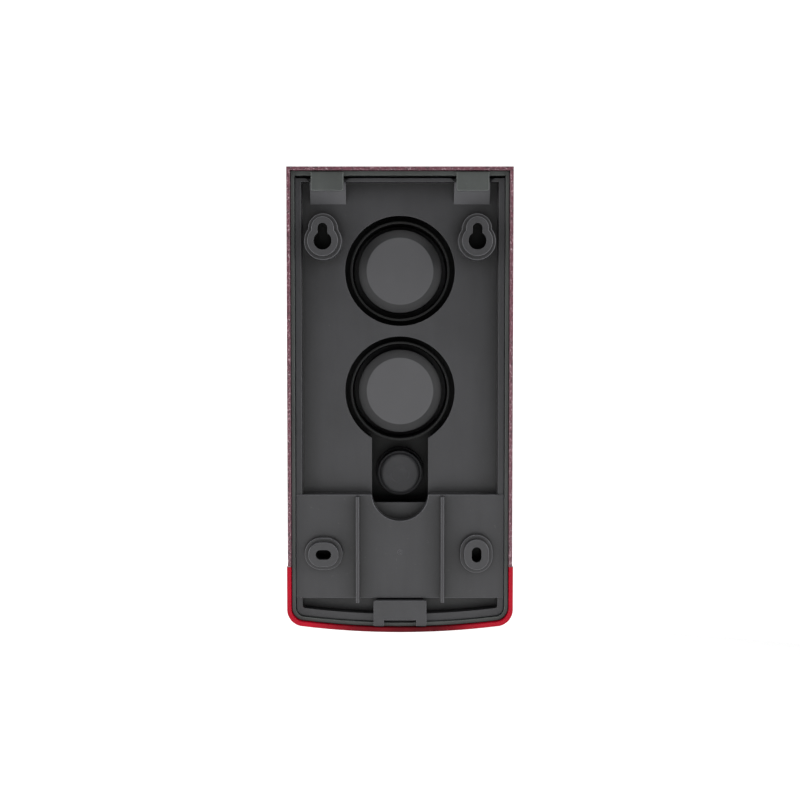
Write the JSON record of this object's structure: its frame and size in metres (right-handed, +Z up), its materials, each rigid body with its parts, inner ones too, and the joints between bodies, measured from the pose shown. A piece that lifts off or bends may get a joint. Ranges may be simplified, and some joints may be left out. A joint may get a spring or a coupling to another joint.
{
  "type": "pedestrian_traffic_light",
  "caption": "Small wall-hung pedestrian signal head with red and green figure lamps, push button, red bottom cap and a hook-on wall bracket.",
  "frame": {"origin": "midway between the two upper wall screws' seats, on the wall plane", "axes": "+Z up along the head's length, +Y into the wall (the wall is the plane Y = 0 and the lamps face -Y), +X to the right as seen from the front"},
  "size_m": [0.1348, 0.088, 0.2763],
  "materials": {
    "bracket_plastic": "fine moulded texture, dark grey",
    "housing_plastic": "fine moulded texture, slightly greenish dark grey",
    "plug_plastic": "moulded, lighter flat face",
    "rubber_black": "matt elastomer",
    "cover_paint": "speckled hammer finish, dark burgundy",
    "cap_red": "glossy red",
    "steel_zinc": "zinc plated",
    "spring_steel": "drawn spring wire",
    "board_green": "solder resist on glass fibre",
    "module_black": "moulded black",
    "relay_blue": "moulded blue case",
    "terminal_green": "moulded green",
    "socket_white": "natural white",
    "lead_grey": "grey insulation",
    "trim_black": "matt black",
    "bezel_yellow": "signal yellow",
    "button_metal": "turned stainless face",
    "lens_clear": "clear polycarbonate",
    "diffuser_red": "translucent red",
    "diffuser_green": "translucent green",
    "led_red": "clear red epoxy",
    "led_green": "clear green epoxy"
  },
  "bodies": {
    "bracket": {"wall_bracket": "bracket_plastic"},
    "latch": {"latch_tab": "bracket_plastic"},
    "head": {"board_screws": "steel_zinc", "bottom_cap": "cap_red", "button_bezel": "bezel_yellow", "button_nut": "trim_black", "button_seal": "rubber_black", "button_spring": "spring_steel", "button_switch": "module_black", "cable_grommet": "rubber_black", "capacitors": "module_black", "control_board": "board_green", "cover_gasket": "rubber_black", "cover_screws": "steel_zinc", "diffuser_lower": "diffuser_green", "diffuser_upper": "diffuser_red", "front_cover": "cover_paint", "lamp_barrel_lower": "socket_white", "lamp_barrel_upper": "socket_white", "lamp_nut_lower": "trim_black", "lamp_nut_upper": "trim_black", "lamp_plug_lower": "plug_plastic", "lamp_plug_upper": "plug_plastic", "lead_sockets": "socket_white", "led_board_lower": "board_green", "led_board_upper": "board_green", "leds_lower": "led_green", "leds_upper": "led_red", "lens_bezel_lower": "trim_black", "lens_bezel_upper": "trim_black", "lens_lower": "lens_clear", "lens_seal_lower": "rubber_black", "lens_seal_upper": "rubber_black", "lens_upper": "lens_clear", "lower_lead": "lead_grey", "pictogram_mask_lower": "trim_black", "pictogram_mask_upper": "trim_black", "plug_seals": "rubber_black", "power_module": "module_black", "rear_housing": "housing_plastic", "relays": "relay_blue", "sounder": "module_black", "terminal_block": "terminal_green", "upper_lead": "lead_grey", "visor_lower": "trim_black", "visor_upper": "trim_black", "wait_lamp_board": "board_green", "wait_lead": "lead_grey", "wait_leds": "led_red"},
    "button": {"push_button": "button_metal", "switch_plunger": "socket_white"}
  },
  "joints": [
    {"name": "head_tilt", "type": "hinge", "parent": "bracket", "child": "head", "pos_m": [0, -0.008, 0.0297], "axis": [-1, 0, 0], "range_deg": [0, 30]},
    {"name": "latch_flex", "type": "hinge", "parent": "bracket", "child": "latch", "pos_m": [0, -0.01495, -0.2225], "axis": [1, 0, 0], "range_deg": [0, 5], "stiffness_Nm_per_rad": 1.5},
    {"name": "button_press", "type": "slide", "parent": "head", "child": "button", "axis": [0, 1, 0], "range_m": [0, 0.003], "stiffness_N_per_m": 700, "springref_m": -0.004, "deforming": ["button_spring"]}
  ]
}
